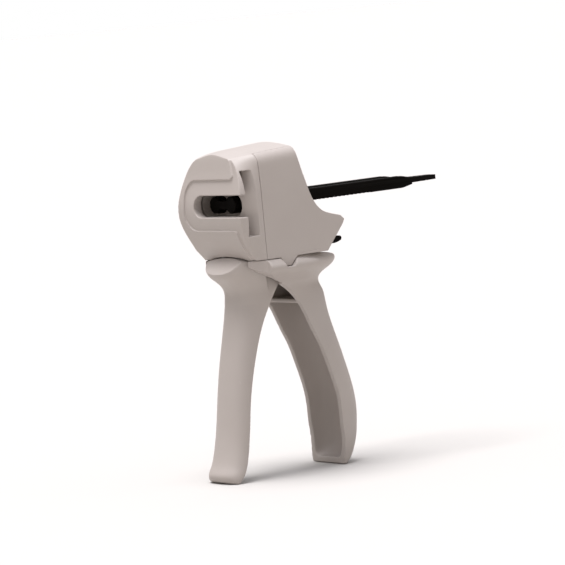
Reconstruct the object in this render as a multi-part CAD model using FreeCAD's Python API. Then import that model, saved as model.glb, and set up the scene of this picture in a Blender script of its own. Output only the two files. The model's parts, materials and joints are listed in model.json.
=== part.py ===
"""Hand-held dispenser for a twin-barrel mixing cartridge, with a squeeze trigger and a ratchet plunger.

Frame: millimetres, +Z up, the cartridge points along -Y, +X is the side the cartridge slides in from.
Origin: on the plunger axis, on the rear face of the front plate, where the cartridge flange bears.
"""

import math
import os

import FreeCAD
import Part

V = FreeCAD.Vector

# Overall places
FLOOR_Z = -128.5
AXIS_PITCH = 12.8            # between the two barrels of a 1:1 cartridge
SEAM_Y = 9.0                 # joint between front housing and side covers
HEAD_HALF_WIDTH = 23.8
WALL = 2.2
TOP_SLOPE = 0.073            # the top of the head climbs towards the back
HOLLOW_Y = 7.6               # front end of the room inside the head
SEAM_GAP = 0.2               # hairline left between neighbouring shells
STRAP_HALF_WIDTH = 19.0
COVER_BOTTOM = -26.2

# Front housing
FACE_RADIUS = 24.8
FACE_CENTRE_Z = -2.0
FACE_Y = -5.4
RECESS_DEPTH = 0.8
SLOT_HALF_HEIGHT = 5.1       # open slot for the barrels
SLOT_END_X = -13.0
FLANGE_GAP = 3.0             # slot for the cartridge flange
FLANGE_BOTTOM = -14.5
FLANGE_TOP = 16.0
FLANGE_END_X = -17.0
POCKET_HALF_WIDTH = 16.0     # pocket behind the flange where the pusher rests
POCKET_HALF_HEIGHT = 5.2
POCKET_FLOOR_Y = 8.0
BULKHEAD_REAR_Y = 9.9

# Plunger
ROD_WIDTH = 5.4
ROD_HEIGHT = 5.8
ROD_FRONT = 7.7
ROD_REAR = 108.5
PUSHER_FACE = 3.2
LOBE_RADIUS = 4.1
PUSHER_WEB = 4.3
TOOTH_PITCH = 2.4
TOOTH_DEPTH = 0.9
TEETH_FRONT = 16.0
TEETH_REAR = 84.0
RACK_WIDTH = 2.0             # narrow toothed rib under each rod
TAB_REAR = 128.0

# Pivots: (y, z)
TRIGGER_PIVOT = (22.0, -26.0)
PAWL_PIVOT = (24.0, -13.0)
CATCH_PIVOT = (44.0, -17.0)
TRIGGER_PIN_RADIUS = 2.0
PAWL_PIN_RADIUS = 1.2
CATCH_PIN_RADIUS = 1.5
RUNNING_CLEARANCE = 0.05

# Chassis inside the head
CHEEK_INNER = 11.6
CHEEK_OUTER = 14.4
FLARE_HALF_WIDTH = 16.8
ARM_INNER = 8.4
ARM_OUTER = 10.8
PAWL_HALF_WIDTH = 8.0
LEDGE_Y = (30.5, 38.5)
LEDGE_Z = (-24.0, -22.0)

# Screws across the covers: (y, z)
SCREWS = ((14.5, 10.0), (28.0, 10.0), (45.5, -11.4))
SCREW_RADIUS = 1.25
SCREW_HEAD_RADIUS = 2.6
BOSS_RADIUS = 3.0


def edge(points):
    """A straight edge through two points, or a smooth curve through more."""
    if len(points) == 2:
        return Part.makeLine(points[0], points[1])
    curve = Part.BSplineCurve()
    curve.interpolate(points)
    return curve.toShape()


def face(stretches, place):
    """A face bounded by consecutive stretches of 2-D points; place turns (a, b) into a vector."""
    edges = [edge([place(a, b) for a, b in stretch]) for stretch in stretches]
    return Part.Face(Part.Wire(edges))


def corners(points):
    """Straight stretches round a closed polygon."""
    return [[points[i], points[(i + 1) % len(points)]] for i in range(len(points))]


def side_prism(stretches, x0, x1):
    """A side-view outline of (y, z) stretches, extruded from x0 to x1."""
    return face(stretches, lambda y, z: V(x0, y, z)).extrude(V(x1 - x0, 0, 0))


def front_prism(stretches, y0, y1):
    """A front-view outline of (x, z) stretches, extruded from y0 to y1."""
    return face(stretches, lambda x, z: V(x, y0, z)).extrude(V(0, y1 - y0, 0))


def plan_prism(stretches, z0, z1):
    """A plan outline of (x, y) stretches, extruded from z0 to z1."""
    return face(stretches, lambda x, y: V(x, y, z0)).extrude(V(0, 0, z1 - z0))


def box(x, y, z):
    """A box between the given (low, high) pairs."""
    return Part.makeBox(x[1] - x[0], y[1] - y[0], z[1] - z[0], V(x[0], y[0], z[0]))


def bar_x(radius, x0, x1, place):
    """A round bar along X at place (y, z)."""
    return Part.makeCylinder(radius, x1 - x0, V(x0, place[0], place[1]), V(1, 0, 0))


def mirrored(shape):
    """The same shape on the other side of the middle plane."""
    return shape.mirror(V(0, 0, 0), V(1, 0, 0))


def both(shape):
    """A shape and its mirror image as one."""
    return shape.fuse(mirrored(shape))


def u_section(z, open_y, closed_y, half_width, squareness=2.7, steps=12):
    """A D-shaped wire at height z: flat across open_y, bulging to closed_y."""
    points = []
    for i in range(steps + 1):
        angle = math.pi * i / steps
        across = math.copysign(abs(math.cos(angle)) ** (2 / squareness), math.cos(angle))
        along = math.sin(angle) ** (2 / squareness) if 0 < i < steps else 0.0
        points.append(V(half_width * across, open_y + (closed_y - open_y) * along, z))
    return Part.Wire([edge(points), Part.makeLine(points[-1], points[0])])


def u_loft(stations, inset=0.0, past_opening=0.0):
    """A solid through D sections; inset shrinks it to the inside of a wall."""
    wires = []
    for z, open_y, closed_y, half_width in stations:
        way = math.copysign(1.0, closed_y - open_y)
        wires.append(u_section(z, open_y - way * past_opening, closed_y - way * inset, half_width - inset))
    return Part.makeLoft(wires, True, False)


# ---------------------------------------------------------------- head

def head_wire(y, side, crown_top, low_width):
    """Cross-section wire of the head: side points from low to high, crowned top, flat bottom."""
    low = -27.0
    right = [(low_width, low)] + side
    shoulder = side[-1]
    crown = [shoulder, (shoulder[0] * 0.52, crown_top - 0.8), (0.0, crown_top),
             (-shoulder[0] * 0.52, crown_top - 0.8), (-shoulder[0], shoulder[1])]
    left = [(-x, z) for x, z in reversed(right)]
    stretches = [right, crown, left, [(-low_width, low), (low_width, low)]]
    return face(stretches, lambda x, z: V(x, y, z)).Wires[0]


def head_section(y, grow=0.0):
    """Cross-section behind the seam: upright sides, rounded shoulders, crowned top that climbs backwards."""
    w = HEAD_HALF_WIDTH + grow
    t = grow
    lift = (y - SEAM_Y) * TOP_SLOPE
    side = [(w, -16.0), (w, -2.0), (w, 8.0), (23.5 + t, 15.5 + lift), (22.7 + t, 20.2 + lift + t / 2),
            (20.2 + t, 22.9 + lift + t)]
    return head_wire(y, side, 25.3 + lift + t, w)


def nose_section():
    """Cross-section where the flange slot lies: the round face is already widening to the full head."""
    side = [(22.0, -19.8), (24.5, -12.0), (24.4, -1.0), (23.7, 8.0), (20.8, 16.0), (13.6, 22.2)]
    return head_wire(0.6, side, 24.2, 16.0)


def face_section():
    """Round outline that the front of the head tapers towards."""
    def on_circle(angle):
        a = math.radians(angle)
        return FACE_RADIUS * math.cos(a), FACE_CENTRE_Z + FACE_RADIUS * math.sin(a)
    side = [on_circle(angle) for angle in (-50, -26, 0, 24, 46, 68)]
    return head_wire(FACE_Y, side, FACE_CENTRE_Z + FACE_RADIUS, 6.0)


def rear_profile(back, tail, slope_foot):
    """Side view closed at the rear by a back curve, the short edges of the tail and the slope below it."""
    front = -20.0
    stretches = [[(front, 40.0), (back[0][0], 40.0)], [(back[0][0], 40.0), back[0]], back]
    edge_of_tail = [back[-1]] + tail
    stretches += [[edge_of_tail[i], edge_of_tail[i + 1]] for i in range(len(tail))]
    stretches += [[tail[-1], slope_foot], [slope_foot, (front, slope_foot[1])]]
    return stretches + [[(front, slope_foot[1]), (front, 40.0)]]


def rear_outside():
    """Side view of the covers: sloping top, leaning back edge, and the tail over the hand."""
    back = [(30.6, 28.2), (31.8, 19.0), (34.6, 8.6), (38.4, -1.6), (42.3, -6.4), (48.5, -9.0), (53.2, -10.3)]
    return side_prism(rear_profile(back, [(55.2, -12.2), (54.0, -14.4)], (41.9, -28.6)), -30, 30)


def rear_inside():
    """The same side view one wall further in."""
    back = [(28.4, 28.2), (29.6, 19.0), (32.4, 8.6), (36.2, -1.6), (40.6, -8.0), (46.4, -10.9), (51.2, -12.0)]
    return side_prism(rear_profile(back, [(51.2, -14.3)], (39.0, -28.6)), -30, 30)


def in_front_of_face(shift=0.0):
    """Everything ahead of the domed front face, moved back by shift."""
    s = shift
    dome = [(2.0 + s, 30.0), (-0.65 + s, 22.5), (-1.8 + s, 16.0), (-4.1 + s, 6.0), (-5.2 + s, -1.0),
            (-4.9 + s, -7.0), (-2.9 + s, -14.2), (-0.2 + s, -19.8), (3.0 + s, -24.6), (6.5 + s, -29.0)]
    return side_prism([dome, [(6.5 + s, -29.0), (-30, -29.0)], [(-30, -29.0), (-30, 30)],
                       [(-30, 30), (2.0 + s, 30)]], -30, 30)


def head_outside():
    """Outer shape of the whole head, front housing and covers together."""
    nose = Part.makeLoft([face_section(), nose_section(), head_section(SEAM_Y)], True, True)
    rear = Part.makeLoft([head_section(SEAM_Y), head_section(60.0)], True, True)
    rear = rear.common(rear_outside())
    return nose.cut(in_front_of_face()).fuse(rear).removeSplitter()


def head_inside():
    """Hollow of the head behind the seam."""
    room = Part.makeLoft([head_section(HOLLOW_Y, -WALL), head_section(60.0, -WALL)], True, True)
    return room.common(rear_inside()).fuse(box((-21.6, 21.6), (HOLLOW_Y, 39.0), (-30, -20)))


def under_arch(drop=0.0):
    """Space below the head: the underside is a shallow arch across."""
    radius = 65.0
    crest = -24.2 - drop
    return Part.makeCylinder(radius, 90, V(0, -20, crest - radius), V(0, 1, 0))


def recess_area():
    """Plan of the shallow step in the front face, open to the loading side."""
    top_panel = [[(-60, 12.5), (15.6, 12.5)], [(15.6, 12.5), (17.3, 13.3), (17.0, 15.0)],
                 [(17.0, 15.0), (13.6, 23.2)], [(13.6, 23.2), (-60, 40)], [(-60, 40), (-60, 12.5)]]
    low_panel = [[(-60, -11.5), (17.6, -11.5)], [(17.6, -11.5), (19.0, -12.4), (19.2, -14.0)],
                 [(19.2, -14.0), (18.0, -30.0)], [(18.0, -30.0), (-60, -30)], [(-60, -30), (-60, -11.5)]]
    area = box((-12.0, 40), (-30, 30), (-30, 30))
    area = area.fuse(Part.makeCylinder(8.0, 60, V(-12.0, -30, 4.5), V(0, 1, 0)))
    area = area.fuse(Part.makeCylinder(8.0, 60, V(-12.0, -30, -3.5), V(0, 1, 0)))
    area = area.fuse(box((-20.0, 0), (-30, 30), (-3.5, 4.5)))
    area = area.cut(front_prism(top_panel, -40, 40))
    return area.cut(front_prism(low_panel, -40, 40))


def front_housing(outside, inside):
    """Front of the head with the cartridge slots, and the crowned top strap in one piece."""
    strap_edge = STRAP_HALF_WIDTH - SEAM_GAP
    strap = box((-strap_edge, strap_edge), (SEAM_Y - 0.01, 40), (19.0, 40))
    front = box((-30, 30), (-30, SEAM_Y), (-40, 40))
    body = outside.common(front.fuse(strap)).cut(inside)
    body = body.cut(in_front_of_face(RECESS_DEPTH).common(recess_area()))
    body = body.cut(under_arch())
    saddle = corners([(-17.4, 2.2), (17.4, 2.2), (24.2, 8.8), (30.0, 12.0), (-30.0, 12.0), (-24.2, 8.8)])
    body = body.cut(plan_prism(saddle, -40.0, COVER_BOTTOM + SEAM_GAP))
    slot = box((SLOT_END_X + SLOT_HALF_HEIGHT, 40), (-30, 1), (-SLOT_HALF_HEIGHT, SLOT_HALF_HEIGHT))
    slot = slot.fuse(Part.makeCylinder(SLOT_HALF_HEIGHT, 31, V(SLOT_END_X + SLOT_HALF_HEIGHT, -30, 0), V(0, 1, 0)))
    flange = box((FLANGE_END_X, 40), (0, FLANGE_GAP), (FLANGE_BOTTOM, FLANGE_TOP))
    bulkhead = box((-POCKET_HALF_WIDTH - 2, POCKET_HALF_WIDTH + 2), (FLANGE_GAP + 1, BULKHEAD_REAR_Y), (-7.0, 6.6))
    body = body.fuse(bulkhead)
    end_x = POCKET_HALF_WIDTH - POCKET_HALF_HEIGHT
    pocket = box((-end_x, end_x), (1, POCKET_FLOOR_Y), (-POCKET_HALF_HEIGHT, POCKET_HALF_HEIGHT))
    pocket = pocket.fuse(both(Part.makeCylinder(POCKET_HALF_HEIGHT, POCKET_FLOOR_Y - 1, V(end_x, 1, 0), V(0, 1, 0))))
    pocket = pocket.fuse(both(rod_blank(POCKET_FLOOR_Y - 1, BULKHEAD_REAR_Y + 1, 0.35)))
    scoop = plan_prism([[(18.0, FLANGE_GAP - 0.5), (26, FLANGE_GAP - 0.5)], [(26, FLANGE_GAP - 0.5), (26, 7.2)],
                        [(26, 7.2), (22.6, 5.6), (19.8, 4.0), (18.0, FLANGE_GAP)],
                        [(18.0, FLANGE_GAP), (18.0, FLANGE_GAP - 0.5)]], FLANGE_BOTTOM, FLANGE_TOP)
    return body.cut(slot).cut(flange).cut(pocket).cut(scoop)


def cover(outside, inside, hand):
    """One side cover: shell, screw bosses, the lug at its lower edge; hand is +1 for the loading side."""
    region = box((0, 30), (SEAM_Y + SEAM_GAP, 70), (-40, 40)).cut(box((-1, STRAP_HALF_WIDTH), (0, 40), (19.0, 40)))
    shell = outside.common(region).cut(inside)
    shell = shell.cut(box((-30, 30), (0, 45), (-40, COVER_BOTTOM + SEAM_GAP)))
    lug = side_prism(corners([(16.8, -25.9), (18.6, -30.2), (22.6, -30.2), (26.6, COVER_BOTTOM + 0.3),
                              (26.6, -25.0), (16.8, -25.0)]), HEAD_HALF_WIDTH - 1.6, HEAD_HALF_WIDTH)
    shell = shell.fuse(lug)
    groove = side_prism(corners([(28.2, -25.6), (39.6, -24.7), (39.6, -24.3), (28.2, -25.2)]), 23.4, 30)
    shell = shell.cut(groove)
    shell = shell.cut(box((-1, 12.4), (25, 60), (-5.0, 5.2)))
    shell = shell.cut(box((-1, 7.6), (44, 60), (-30, -14.6)))
    for place in SCREWS:
        pillar = bar_x(BOSS_RADIUS - (0.6 if place[1] < 0 else 0.0), 0.0, 22.6, place).common(outside)
        shell = shell.fuse(pillar)
    for place in SCREWS:
        if hand > 0:
            shell = shell.cut(bar_x(SCREW_RADIUS, -1, 14, place))
        else:
            shell = shell.cut(bar_x(SCREW_RADIUS + 0.2, -1, 30, place))
            shell = shell.cut(bar_x(SCREW_HEAD_RADIUS + 0.2, 20.2, 30, place))
    shell = shell.removeSplitter()
    return shell if hand > 0 else mirrored(shell)


def cover_screws():
    """Three long self-tapping screws, put in from the closed side."""
    screws = []
    for place in SCREWS:
        shank = bar_x(SCREW_RADIUS, -20.2, 13.0, place)
        head = bar_x(SCREW_HEAD_RADIUS, -21.8, -20.2, place)
        screw = shank.fuse(head)
        for turn in (0, 90):
            bar = box((-22.5, -20.9), (-0.35, 0.35), (-1.5, 1.5))
            bar.rotate(V(0, 0, 0), V(1, 0, 0), turn)
            bar.translate(V(0, place[0], place[1]))
            screw = screw.cut(bar)
        screws.append(screw)
    return Part.makeCompound(screws)


def rear_guide():
    """Plate across the back of the head that keeps the two rods in line."""
    plate = box((-12.4, 12.4), (33.6, 36.0), (-5.0, 5.2))
    return plate.cut(both(rod_blank(30, 40, 0.35)))


# ---------------------------------------------------------------- grip frame

GRIP = (
    (FLOOR_Z, 50.0, 53.6, 12.4), (-126.5, 50.2, 57.4, 12.9), (-122.0, 50.6, 60.4, 13.5),
    (-114.0, 50.9, 63.2, 14.0), (-103.0, 50.4, 64.5, 14.2), (-90.0, 48.6, 62.9, 14.2),
    (-78.0, 45.0, 59.8, 14.1), (-66.0, 40.2, 56.4, 14.0), (-56.0, 35.8, 53.8, 14.0),
    (-49.5, 32.4, 53.0, 14.0), (-45.5, 29.4, 52.4, 14.1), (-42.5, 26.4, 51.0, 14.4),
    (-39.8, 22.6, 50.2, 15.2), (-37.4, 18.6, 51.0, 17.6), (-35.2, 14.4, 53.4, 21.2),
    (-33.2, 10.2, 56.2, 24.6), (-31.2, 6.4, 58.0, 26.4), (-29.4, 3.4, 58.4, 26.6),
    (-27.8, 1.0, 58.0, 25.4), (-26.2, -1.0, 57.4, 23.8), (-24.6, -3.0, 56.4, 22.2),
)


def grip_frame():
    """Rear handle, thumb saddle and the two cheeks that carry the pins, moulded in one."""
    outer = u_loft(GRIP)
    low = [s for s in GRIP if FLOOR_Z + 4 < s[0] < -36]
    low = [(FLOOR_Z + 3.0, 50.2, 55.4, 12.7)] + low
    channel = u_loft(low, 2.4, 6.0)
    channel = channel.fuse(box((-CHEEK_INNER, CHEEK_INNER), (-5, 46.0), (-37.6, -20)))
    deck = [[(-10.0, COVER_BOTTOM), (38.0, COVER_BOTTOM)],
            [(38.0, COVER_BOTTOM), (44.0, -26.6), (50.0, -27.6), (56.0, -29.4), (62.0, -32.0)],
            [(62.0, -32.0), (62.0, 0.0)], [(62.0, 0.0), (-10.0, 0.0)], [(-10.0, 0.0), (-10.0, COVER_BOTTOM)]]
    body = outer.cut(side_prism(deck, -40, 40)).cut(channel)
    nose = corners([(-30, -10), (0.0, -10), (0.0, 2.4), (-17.2, 2.4), (-24.0, SEAM_Y), (-30, SEAM_Y)])
    body = body.cut(both(plan_prism(nose, -40, -20)))
    under_nose = [[(-10.0, -24.6), (5.2, -24.8)], [(5.2, -24.8), (8.9, -28.2), (12.9, -32.6)],
                  [(12.9, -32.6), (18.6, -35.0)], [(18.6, -35.0), (21.0, -38.0)], [(21.0, -38.0), (21.0, -50.0)],
                  [(21.0, -50.0), (-10.0, -50.0)], [(-10.0, -50.0), (-10.0, -24.6)]]
    body = body.cut(side_prism(under_nose, -FLARE_HALF_WIDTH, FLARE_HALF_WIDTH))
    cheek = [[(12.0, -27.0), (12.0, -14.0)], [(12.0, -14.0), (19.0, -8.4)], [(19.0, -8.4), (33.0, -8.4)],
             [(33.0, -8.4), (41.5, -14.0)], [(41.5, -14.0), (48.6, -14.7)], [(48.6, -14.7), (48.0, -17.5)],
             [(48.0, -17.5), (40.0, -27.0)], [(40.0, -27.0), (12.0, -27.0)]]
    body = body.fuse(both(side_prism(cheek, CHEEK_INNER, CHEEK_OUTER)))
    body = body.fuse(box((-CHEEK_INNER, CHEEK_INNER), LEDGE_Y, LEDGE_Z))
    body = body.fuse(box((-12.0, 12.0), (33.0, 50.5), (-49.6, -47.6)).common(outer))
    lug = side_prism(corners([(16.5, -25.0), (18.4, -30.5), (22.8, -30.5), (27.2, -25.6)]), 21.9, 30)
    body = body.cut(both(lug))
    body = body.cut(bar_x(TRIGGER_PIN_RADIUS, -20, 20, TRIGGER_PIVOT))
    body = body.cut(bar_x(CATCH_PIN_RADIUS, -20, 20, CATCH_PIVOT))
    return body.removeSplitter()


# ---------------------------------------------------------------- trigger

LEVER = (
    (FLOOR_Z, -9.6, -12.0, 11.2), (-127.4, -8.6, -13.7, 11.7), (-125.6, -7.2, -14.4, 12.0),
    (-122.0, -5.2, -13.0, 11.9), (-116.5, -3.4, -10.9, 11.6), (-104.0, -0.8, -8.1, 11.2),
    (-91.0, 1.4, -6.1, 11.0), (-76.0, 5.1, -3.6, 10.9), (-64.0, 9.1, -1.0, 10.9),
    (-54.0, 13.6, 1.0, 10.9), (-47.0, 17.8, 2.0, 10.9), (-42.0, 21.0, 2.7, 11.0),
    (-38.0, 24.0, 2.8, 11.0), (-34.5, 26.0, 2.8, 11.0),
)

FLARE = (
    (-47.0, 17.8, 2.0, 10.9), (-43.5, 17.4, 2.5, 11.0), (-40.5, 16.8, 2.4, 11.3),
    (-37.5, 15.8, 0.8, 12.3), (-34.8, 14.8, -2.2, 13.8), (-32.4, 14.0, -4.3, 15.1),
    (-30.3, 13.4, -5.0, 15.9), (-28.0, 13.0, -5.0, 16.2), (-24.5, 13.0, -5.0, 16.2),
)


def trigger():
    """Squeeze lever: hollow shank, flared top under the head, and twin arms up to the pawl pin."""
    shank = u_loft(LEVER)
    hollow = [s for s in LEVER if FLOOR_Z + 4 < s[0] < -46]
    hollow = [(FLOOR_Z + 3.0, -7.0, -13.6, 11.9)] + hollow
    shank = shank.cut(u_loft(hollow, 2.4, 6.0))
    crown = u_loft(FLARE)
    above = [[(-9.0, -36.0), (2.0, -25.4)], [(2.0, -25.4), (3.2, -24.6), (4.8, -25.2)],
             [(4.8, -25.2), (8.4, -28.6), (12.4, -33.0)], [(12.4, -33.0), (18.0, -35.4)], [(18.0, -35.4), (18.0, 0.0)],
             [(18.0, 0.0), (-9.0, 0.0)], [(-9.0, 0.0), (-9.0, -36.2)]]
    crown = crown.cut(side_prism(above, -30, 30)).common(under_arch(0.5))
    arm = [[(14.0, -44.0), (13.4, -33.6)], [(13.4, -33.6), (15.6, -26.0)], [(15.6, -26.0), (20.0, -12.0)],
           [(20.0, -12.0), (21.2, -10.6), (24.0, -9.8), (26.8, -10.6), (28.0, -13.0)],
           [(28.0, -13.0), (28.0, -33.0)], [(28.0, -33.0), (24.0, -38.0)], [(24.0, -38.0), (19.6, -44.0)],
           [(19.6, -44.0), (14.0, -44.0)]]
    arms = both(side_prism(arm, ARM_INNER, ARM_OUTER))
    body = shank.cut(box((-30, 30), (-20, 40), (-36.5, 0))).fuse(crown)
    body = body.cut(box((-ARM_INNER, ARM_INNER), (15.0, 40), (-44.0, 0)))
    body = body.cut(box((-ARM_INNER, ARM_INNER), (7.0, 40), (-36.0, 0)))
    body = body.fuse(arms)
    bridge = box((-ARM_INNER, ARM_INNER), (16.5, 20.5), (-20.0, -18.5))
    horn = box((-ARM_INNER, ARM_INNER), (22.0, 28.0), (-37.0, -34.5)).fuse(
        box((-5.0, 5.0), (27.0, 38.0), (-37.0, -34.5)))
    body = body.fuse(bridge).fuse(horn)
    body = body.cut(bar_x(TRIGGER_PIN_RADIUS + RUNNING_CLEARANCE, -20, 20, TRIGGER_PIVOT))
    body = body.cut(bar_x(PAWL_PIN_RADIUS, -20, 20, PAWL_PIVOT))
    return body.removeSplitter()


def drive_pawl():
    """Wide pawl whose upper edge pushes on the teeth of both rods."""
    outline = [[(16.9, -3.4), (18.2, -3.4)], [(18.2, -3.4), (25.6, -10.4)],
               [(25.6, -10.4), (26.6, -12.0), (26.4, -14.4), (24.6, -15.6), (22.4, -15.4)],
               [(22.4, -15.4), (17.2, -11.6)], [(17.2, -11.6), (16.9, -3.4)]]
    body = side_prism(outline, -PAWL_HALF_WIDTH, PAWL_HALF_WIDTH)
    return body.cut(bar_x(PAWL_PIN_RADIUS + RUNNING_CLEARANCE, -20, 20, PAWL_PIVOT))


def release_lever():
    """Rocker with a holding tooth in front and a thumb tab behind, under the tail."""
    outline = [[(29.4, -3.4), (30.8, -3.4)], [(30.8, -3.4), (32.6, -8.6), (36.0, -12.0), (41.0, -13.4)],
               [(41.0, -13.4), (45.0, -14.2), (49.0, -16.6), (54.0, -20.0), (59.0, -21.3)],
               [(59.0, -21.3), (64.4, -21.3)], [(64.4, -21.3), (65.6, -22.1), (65.3, -23.4)],
               [(65.3, -23.4), (60.0, -24.6), (53.0, -23.2), (46.0, -20.6), (41.0, -20.0)],
               [(41.0, -20.0), (37.0, -17.6)], [(37.0, -17.6), (36.4, -14.5)], [(36.4, -14.5), (29.4, -14.5)],
               [(29.4, -14.5), (29.4, -3.4)]]
    body = side_prism(outline, -10.8, 10.8)
    body = body.cut(both(box((6.0, 20), (41.5, 80), (-40, 0))))
    return body.cut(bar_x(CATCH_PIN_RADIUS + RUNNING_CLEARANCE, -20, 20, CATCH_PIVOT))


# ---------------------------------------------------------------- plunger

def rod_blank(y0, y1, grow=0.0):
    """Plain rod on the +X side with rounded long edges."""
    x = AXIS_PITCH / 2
    w = ROD_WIDTH / 2 + grow
    h = ROD_HEIGHT / 2 + grow
    bar = box((x - w, x + w), (y0, y1), (-h, h))
    long_edges = [e for e in bar.Edges if abs(e.Vertexes[0].Y - e.Vertexes[1].Y) > 1]
    return bar.makeFillet(0.7, long_edges)


def rod():
    """One plunger rod: fluted sides, ratchet teeth underneath, tapered rear end."""
    x = AXIS_PITCH / 2
    body = rod_blank(ROD_FRONT, ROD_REAR)
    taper = side_prism(corners([(ROD_REAR - 6.0, 4.0), (ROD_REAR - 6.0, 2.9), (ROD_REAR, 1.6), (ROD_REAR + 1, 1.6),
                                (ROD_REAR + 1, 4.0)]), 0, 2 * x)
    body = body.cut(taper).cut(taper.mirror(V(0, 0, 0), V(0, 0, 1)))
    for side in (-1, 1):
        flute = Part.makeCylinder(0.8, 200, V(x + side * (ROD_WIDTH / 2 + 0.35), 0, 0.9), V(0, 1, 0))
        body = body.cut(flute)
    crown = Part.makeCylinder(0.9, 200, V(x, 0, ROD_HEIGHT / 2 + 0.45), V(0, 1, 0))
    body = body.cut(crown)
    low = -ROD_HEIGHT / 2
    teeth = []
    count = int((TEETH_REAR - TEETH_FRONT) / TOOTH_PITCH)
    for i in range(count):
        y = TEETH_FRONT + i * TOOTH_PITCH
        notch = [(y, low - 0.1), (y, low), (y + TOOTH_PITCH - 0.4, low + TOOTH_DEPTH),
                 (y + TOOTH_PITCH - 0.4, low - 0.1)]
        teeth.append(side_prism(corners(notch), 0, 2 * x))
    body = body.cut(Part.makeCompound(teeth))
    for side in (-1, 1):
        inner, outer = sorted((x + side * RACK_WIDTH / 2, x + side * 5.0))
        body = body.cut(box((inner, outer), (TEETH_FRONT - 4, TEETH_REAR), (low - 1, low + TOOTH_DEPTH)))
    spigot = Part.makeCylinder(1.6, 3.0, V(x, ROD_FRONT - 3.0, 0), V(0, 1, 0))
    return body.fuse(spigot)


def pusher_head():
    """Bone-shaped head that bears on both pistons."""
    x = AXIS_PITCH / 2
    depth = ROD_FRONT - PUSHER_FACE
    half = PUSHER_WEB / 2
    body = box((-x, x), (PUSHER_FACE, ROD_FRONT), (-half, half))
    for centre in (-x, x):
        body = body.fuse(Part.makeCylinder(LOBE_RADIUS, depth, V(centre, PUSHER_FACE, 0), V(0, 1, 0)))
    body = body.removeSplitter()
    rim = [e for e in body.Edges if e.BoundBox.YMax < PUSHER_FACE + 0.01]
    body = body.makeChamfer(0.35, rim)
    for centre in (-x, x):
        body = body.cut(Part.makeCylinder(1.6, 3.0, V(centre, ROD_FRONT - 3.0, 0), V(0, 1, 0)))
    return body


def pull_tab():
    """Flat bar held between the rods, drawn out behind them as a handle."""
    inner = (AXIS_PITCH - ROD_WIDTH) / 2
    bar = box((-inner, inner), (88.0, TAB_REAR), (-1.4, 1.4))
    upright = [e for e in bar.Edges if e.BoundBox.YMin > TAB_REAR - 0.01 and e.BoundBox.ZLength > 1]
    bar = bar.makeFillet(1.6, upright)
    taper = side_prism(corners([(108.0, 1.4), (TAB_REAR + 1, 1.05), (TAB_REAR + 1, 2.0), (108.0, 2.0)]), -9, 9)
    bar = bar.cut(taper).cut(taper.mirror(V(0, 0, 0), V(0, 0, 1)))
    for y in (118.0, 121.0, 124.0):
        rib = box((-9, 9), (y, y + 0.8), (1.0, 3.0))
        bar = bar.cut(rib).cut(rib.mirror(V(0, 0, 0), V(0, 0, 1)))
    return bar


# ---------------------------------------------------------------- pins and springs

def coil(radius, wire, bottom, top, turns, place):
    """A compression spring standing on place (x, y) between two heights."""
    pitch = (top - bottom - wire) / turns
    helix = Part.makeHelix(pitch, pitch * turns, radius)
    start = V(radius, 0, 0)
    profile = Part.Wire([Part.makeCircle(wire / 2, start, V(0, 1, pitch / (2 * math.pi * radius)))])
    spring = Part.Wire(helix.Edges).makePipeShell([profile], True, True)
    spring.translate(V(place[0], place[1], bottom + wire / 2))
    return spring


def main():
    os.makedirs("parts", exist_ok=True)
    outside = head_outside()
    inside = head_inside()
    rod_right = rod()
    pieces = {
        "grip_frame": grip_frame(),
        "front_housing": front_housing(outside, inside),
        "cover_right": cover(outside, inside, 1),
        "cover_left": cover(outside, inside, -1),
        "cover_screws": cover_screws(),
        "rear_guide": rear_guide(),
        "trigger_pin": bar_x(TRIGGER_PIN_RADIUS, -16.0, 16.0, TRIGGER_PIVOT),
        "catch_pin": bar_x(CATCH_PIN_RADIUS, -16.0, 16.0, CATCH_PIVOT),
        "trigger": trigger(),
        "pawl_pin": bar_x(PAWL_PIN_RADIUS, -ARM_OUTER, ARM_OUTER, PAWL_PIVOT),
        "drive_pawl": drive_pawl(),
        "release_lever": release_lever(),
        "rod_right": rod_right,
        "rod_left": mirrored(rod_right),
        "pusher_head": pusher_head(),
        "pull_tab": pull_tab(),
        "trigger_spring": coil(2.6, 0.8, -34.5, LEDGE_Z[0], 5, (0, 34.0)),
        "catch_spring": coil(1.9, 0.6, LEDGE_Z[1], -14.9, 4, (0, 33.4)),
        "pawl_spring": coil(1.5, 0.4, -18.5, -12.7, 4, (0, 18.5)),
    }
    for name, shape in pieces.items():
        shape.exportStep("parts/" + name + ".step")


main()
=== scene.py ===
import json
import math

import bmesh
import bpy
from mathutils import Matrix, Vector

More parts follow.
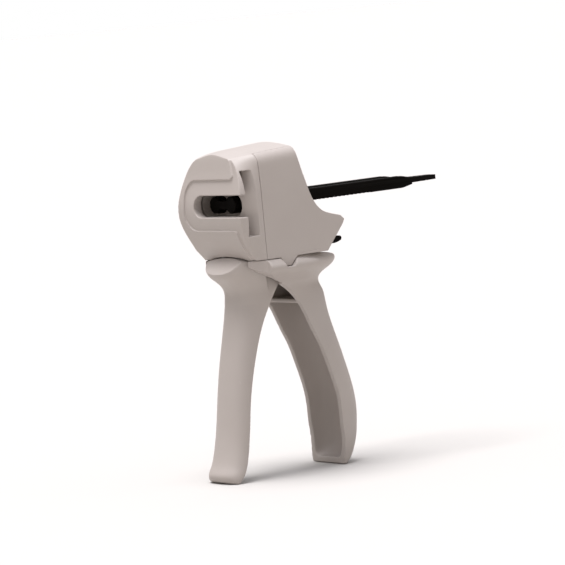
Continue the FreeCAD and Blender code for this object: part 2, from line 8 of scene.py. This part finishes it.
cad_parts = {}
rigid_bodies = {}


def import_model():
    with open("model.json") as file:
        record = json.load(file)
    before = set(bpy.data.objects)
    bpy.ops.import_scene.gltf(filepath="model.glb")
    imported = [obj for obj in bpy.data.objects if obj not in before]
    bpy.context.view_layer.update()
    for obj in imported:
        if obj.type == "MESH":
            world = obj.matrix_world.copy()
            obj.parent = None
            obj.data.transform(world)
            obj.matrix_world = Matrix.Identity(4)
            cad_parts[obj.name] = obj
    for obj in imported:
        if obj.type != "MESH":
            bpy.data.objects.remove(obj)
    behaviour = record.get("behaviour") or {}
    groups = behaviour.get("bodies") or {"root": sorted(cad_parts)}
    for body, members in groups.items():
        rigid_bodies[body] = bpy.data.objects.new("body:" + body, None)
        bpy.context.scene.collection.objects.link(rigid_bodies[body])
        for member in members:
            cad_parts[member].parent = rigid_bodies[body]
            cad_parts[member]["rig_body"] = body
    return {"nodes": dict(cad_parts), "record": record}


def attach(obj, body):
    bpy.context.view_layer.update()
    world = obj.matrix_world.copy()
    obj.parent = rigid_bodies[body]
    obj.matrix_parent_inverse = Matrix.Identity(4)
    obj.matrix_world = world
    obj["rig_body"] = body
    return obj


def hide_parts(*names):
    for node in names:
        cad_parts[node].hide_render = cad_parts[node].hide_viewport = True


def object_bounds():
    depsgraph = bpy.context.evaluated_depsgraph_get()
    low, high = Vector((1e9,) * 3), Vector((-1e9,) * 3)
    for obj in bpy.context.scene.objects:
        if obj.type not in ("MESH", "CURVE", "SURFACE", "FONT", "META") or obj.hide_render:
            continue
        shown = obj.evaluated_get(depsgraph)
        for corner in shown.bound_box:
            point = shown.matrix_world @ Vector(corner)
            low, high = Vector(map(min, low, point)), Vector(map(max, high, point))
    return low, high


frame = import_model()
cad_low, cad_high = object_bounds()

MM = 0.001
nodes = frame["nodes"]
body_of_node = {name: node["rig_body"] for name, node in nodes.items()}
slot_of_node = {part["node"]: part["material_slot"] for part in frame["record"]["subparts"]}


# ---------------------------------------------------------------- materials

CLOUD_SCALE = 38.0          # faint cloudiness over centimetres
POLISH_SCALE = 260.0        # patches of slightly different polish
GRAIN_SCALE = 3200.0        # spark-eroded grain of the mould
GRAIN_STRENGTH = 0.35
POLISH_SPREAD = 0.035       # how far the roughness strays either way
HIGHLIGHT_FROM, HIGHLIGHT_TO = 0.56, 0.68     # pointiness where the painted edge highlight starts, and where it is full


def new_material(name):
    material = bpy.data.materials.new(name)
    material.use_nodes = True
    return material, material.node_tree.nodes["Principled BSDF"]


def noise(tree, coordinates, scale, detail=3.0, stretch=(1, 1, 1)):
    mapping = tree.nodes.new("ShaderNodeMapping")
    mapping.inputs["Scale"].default_value = stretch
    tree.links.new(coordinates, mapping.inputs["Vector"])
    texture = tree.nodes.new("ShaderNodeTexNoise")
    texture.inputs["Scale"].default_value = scale
    texture.inputs["Detail"].default_value = detail
    tree.links.new(mapping.outputs["Vector"], texture.inputs["Vector"])
    return texture.outputs["Fac"]


def spread(tree, value, low, high):
    """Map 0.3..0.7 of a noise to low..high."""
    node = tree.nodes.new("ShaderNodeMapRange")
    node.inputs["From Min"].default_value = 0.3
    node.inputs["From Max"].default_value = 0.7
    node.inputs["To Min"].default_value = low
    node.inputs["To Max"].default_value = high
    tree.links.new(value, node.inputs["Value"])
    return node.outputs["Result"]


def mix_colour(tree, factor, first, second):
    node = tree.nodes.new("ShaderNodeMix")
    node.data_type = "RGBA"
    for socket, value in (("A", first), ("B", second)):
        target = [s for s in node.inputs if s.name == socket and s.type == "RGBA"][0]
        if isinstance(value, tuple):
            target.default_value = (*value, 1)
        else:
            tree.links.new(value, target)
    tree.links.new(factor, node.inputs[0])
    return [s for s in node.outputs if s.type == "RGBA"][0]


def painted_edge_highlight(tree):
    """Mask for a painted highlight: 0 on flat surface, up to 1 along convex edges, where edges catch the
    light.
    """
    geometry = tree.nodes.new("ShaderNodeNewGeometry")
    node = tree.nodes.new("ShaderNodeMapRange")
    node.inputs["From Min"].default_value = HIGHLIGHT_FROM
    node.inputs["From Max"].default_value = HIGHLIGHT_TO
    tree.links.new(geometry.outputs["Pointiness"], node.inputs["Value"])
    return node.outputs["Result"]


def moulded_plastic(name, light, dark, edge, roughness, grain_depth, gloss):
    """Satin injection-moulded plastic: faint cloudiness, fine grain, and a paler tone along its edges
    that is a painted highlight where the edges catch the light.
    """
    material, shader = new_material(name)
    tree = material.node_tree
    place = tree.nodes.new("ShaderNodeTexCoord").outputs["Object"]
    clouds = noise(tree, place, CLOUD_SCALE, 4.0)
    colour = mix_colour(tree, spread(tree, clouds, 0.0, 1.0), dark, light)
    # painted highlight: the edge colour lightens convex edges, standing in for light catching them
    colour = mix_colour(tree, painted_edge_highlight(tree), colour, edge)
    tree.links.new(colour, shader.inputs["Base Color"])
    polish = noise(tree, place, POLISH_SCALE, 3.0)
    rough = spread(tree, polish, roughness - POLISH_SPREAD, roughness + POLISH_SPREAD)
    tree.links.new(rough, shader.inputs["Roughness"])
    grain = noise(tree, place, GRAIN_SCALE, 2.0)
    bump = tree.nodes.new("ShaderNodeBump")
    bump.inputs["Strength"].default_value = GRAIN_STRENGTH
    bump.inputs["Distance"].default_value = grain_depth
    tree.links.new(grain, bump.inputs["Height"])
    tree.links.new(bump.outputs["Normal"], shader.inputs["Normal"])
    shader.inputs["Specular IOR Level"].default_value = gloss
    return material


def steel(name):
    """Turned steel with fine lines from the tool."""
    material, shader = new_material(name)
    tree = material.node_tree
    place = tree.nodes.new("ShaderNodeTexCoord").outputs["Object"]
    marks = noise(tree, place, 900.0, 2.0, (0.05, 1, 1))
    colour = mix_colour(tree, marks, (0.42, 0.42, 0.43), (0.66, 0.66, 0.67))
    tree.links.new(colour, shader.inputs["Base Color"])
    tree.links.new(spread(tree, marks, 0.24, 0.38), shader.inputs["Roughness"])
    shader.inputs["Metallic"].default_value = 1.0
    return material


# the third colour of each plastic is its painted edge highlight
FINISH = {
    "light_plastic": moulded_plastic(
        "light_plastic", (0.415, 0.372, 0.343), (0.400, 0.356, 0.327), (0.450, 0.410, 0.382),
        roughness=0.48, grain_depth=0.02 * MM, gloss=0.32),
    "black_plastic": moulded_plastic(
        "black_plastic", (0.0050, 0.0042, 0.0036), (0.0036, 0.0030, 0.0026), (0.010, 0.009, 0.008),
        roughness=0.50, grain_depth=0.02 * MM, gloss=0.02),
    "mechanism_plastic": moulded_plastic(
        "mechanism_plastic", (0.62, 0.61, 0.57), (0.57, 0.56, 0.52), (0.66, 0.65, 0.62),
        roughness=0.40, grain_depth=0.01 * MM, gloss=0.4),
    "steel": steel("turned_steel"),
}
for name, node in nodes.items():
    node.data.materials.clear()
    node.data.materials.append(FINISH[slot_of_node[name]])


# ---------------------------------------------------------------- pieces

JOIN_WITHIN = 0.0002 * MM   # vertices of one CAD corner lie closer than this


def welded(node_name):
    """A new mesh with the CAD node's shape and its split vertices joined."""
    mesh = bpy.data.meshes.new(node_name)
    bm = bmesh.new()
    bm.from_mesh(nodes[node_name].data)
    bmesh.ops.remove_doubles(bm, verts=bm.verts, dist=JOIN_WITHIN)
    bm.to_mesh(mesh)
    bm.free()
    return mesh


def applied(piece):
    """Turn a piece's modifiers into its mesh."""
    graph = bpy.context.evaluated_depsgraph_get()
    made = bpy.data.meshes.new_from_object(piece.evaluated_get(graph))
    piece.modifiers.clear()
    piece.data = made


def finished(piece, node_name):
    """Shade the piece smooth and let it stand for its CAD node."""
    for polygon in piece.data.polygons:
        polygon.use_smooth = True
    piece.data.materials.clear()
    piece.data.materials.append(FINISH[slot_of_node[node_name]])
    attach(piece, body_of_node[node_name])
    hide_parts(node_name)


def moulded(node_name, voxel, passes, ratio):
    """The node with the soft edges of a moulding."""
    piece = bpy.data.objects.new(node_name + "_moulding", welded(node_name))
    bpy.context.scene.collection.objects.link(piece)
    remesh = piece.modifiers.new("remesh", "REMESH")
    remesh.mode = "VOXEL"
    remesh.voxel_size = voxel
    smooth = piece.modifiers.new("smooth", "SMOOTH")
    smooth.factor = 0.5
    smooth.iterations = passes
    fewer = piece.modifiers.new("fewer", "DECIMATE")
    fewer.ratio = ratio
    applied(piece)
    finished(piece, node_name)


for name, voxel, passes, ratio in (
        ("grip_frame", 0.34 * MM, 4, 0.3),
        ("front_housing", 0.25 * MM, 3, 0.35),
        ("cover_right", 0.25 * MM, 2, 0.3),
        ("cover_left", 0.25 * MM, 2, 0.3),
        ("trigger", 0.30 * MM, 4, 0.3)):
    moulded(name, voxel, passes, ratio)


# ---------------------------------------------------------------- camera, floor and light

AZIMUTH, ELEVATION, ROLL = 54.5, 4.8, 5.4       # degrees
LENS, SENSOR = 223.0088, 36.0                   # millimetres
DISTANCE = 1627.907                             # millimetres, from the aim point to the camera
AIM = Vector((0, 3.0, 0))                       # the point on the object that the camera is placed by
AIM_ASIDE, AIM_ABOVE = -28.093, 35.907          # where that point lies in view, from the middle

FLOOR_REACH = 400.0                             # metres each way, so that its edge is never in view
FLOOR_DROP = 0.3 * MM                           # a hair below the handles' feet
SKY = ((0.0, (0.42, 0.365, 0.31)), (0.4, (0.66, 0.635, 0.62)), (1.0, (1.00, 1.05, 1.20)))
WHITE_FROM, WHITE_FULL = 0.96, 0.99             # cosines of the angle from straight behind the object


def camera():
    """A long lens, turned a little about its own axis."""
    azimuth, elevation, roll = (math.radians(angle) for angle in (AZIMUTH, ELEVATION, ROLL))
    back = Vector((math.sin(azimuth) * math.cos(elevation), -math.cos(azimuth) * math.cos(elevation),
                   math.sin(elevation)))
    level = Vector((math.cos(azimuth), math.sin(azimuth), 0))
    upright = back.cross(level)
    right = level * math.cos(roll) - upright * math.sin(roll)
    up = level * math.sin(roll) + upright * math.cos(roll)
    place = (AIM + back * DISTANCE - right * AIM_ASIDE - up * AIM_ABOVE) * MM
    data = bpy.data.cameras.new("camera")
    data.sensor_width = SENSOR
    data.lens = LENS
    data.clip_start, data.clip_end = 0.1, 30.0
    made = bpy.data.objects.new("camera", data)
    bpy.context.scene.collection.objects.link(made)
    made.matrix_world = Matrix(((right.x, up.x, back.x, place.x), (right.y, up.y, back.y, place.y),
                                (right.z, up.z, back.z, place.z), (0, 0, 0, 1)))
    bpy.context.scene.camera = made
    return right, back


def floor():
    """A plain pale floor."""
    mesh = bpy.data.meshes.new("floor")
    level = cad_low.z - FLOOR_DROP
    corners = [(x * FLOOR_REACH, y * FLOOR_REACH, level) for x, y in ((-1, -1), (1, -1), (1, 1), (-1, 1))]
    mesh.from_pydata(corners, [], [(0, 1, 2, 3)])
    made = bpy.data.objects.new("floor", mesh)
    bpy.context.scene.collection.objects.link(made)
    material, shader = new_material("pale_floor")
    shader.inputs["Base Color"].default_value = (0.495, 0.475, 0.45, 1)
    shader.inputs["Roughness"].default_value = 0.9
    mesh.materials.append(material)


def sun(name, way, width, strength, colour):
    """A distant soft light, width degrees across, that shines from the direction way."""
    data = bpy.data.lights.new(name, "SUN")
    data.angle = math.radians(width)
    data.energy = strength
    data.color = colour
    made = bpy.data.objects.new(name, data)
    bpy.context.scene.collection.objects.link(made)
    made.rotation_mode = "QUATERNION"
    made.rotation_quaternion = Vector(way).normalized().to_track_quat("Z", "Y")


def studio(back):
    """A pale dome: bright and cool overhead, dimmer and warmer low down, white behind the object."""
    world = bpy.data.worlds.new("studio")
    bpy.context.scene.world = world
    world.use_nodes = True
    tree = world.node_tree
    way = tree.nodes.new("ShaderNodeTexCoord").outputs["Generated"]
    split = tree.nodes.new("ShaderNodeSeparateXYZ")
    tree.links.new(way, split.inputs["Vector"])
    ramp = tree.nodes.new("ShaderNodeValToRGB")
    stops = ramp.color_ramp.elements
    horizon, middle, overhead = SKY
    stops[0].position, stops[0].color = horizon[0], (*horizon[1], 1)
    stops[1].position, stops[1].color = overhead[0], (*overhead[1], 1)
    stops.new(middle[0]).color = (*middle[1], 1)
    tree.links.new(split.outputs["Z"], ramp.inputs["Fac"])
    behind = tree.nodes.new("ShaderNodeVectorMath")
    behind.operation = "DOT_PRODUCT"
    behind.inputs[1].default_value = -back
    tree.links.new(way, behind.inputs[0])
    edge = tree.nodes.new("ShaderNodeMapRange")
    edge.inputs["From Min"].default_value = WHITE_FROM
    edge.inputs["From Max"].default_value = WHITE_FULL
    tree.links.new(behind.outputs["Value"], edge.inputs["Value"])
    colour = mix_colour(tree, edge.outputs["Result"], ramp.outputs["Color"], (1.0, 1.0, 1.0))
    background = tree.nodes["Background"]
    tree.links.new(colour, background.inputs["Color"])
    background.inputs["Strength"].default_value = 1.0


right, back = camera()
floor()
studio(back)
sun("key", -right * 0.12 + Vector((0, 0, 1.0)) + back * 0.03, 34.0, 4.1, (1.0, 0.99, 1.01))
bpy.context.scene.view_settings.view_transform = "Standard"
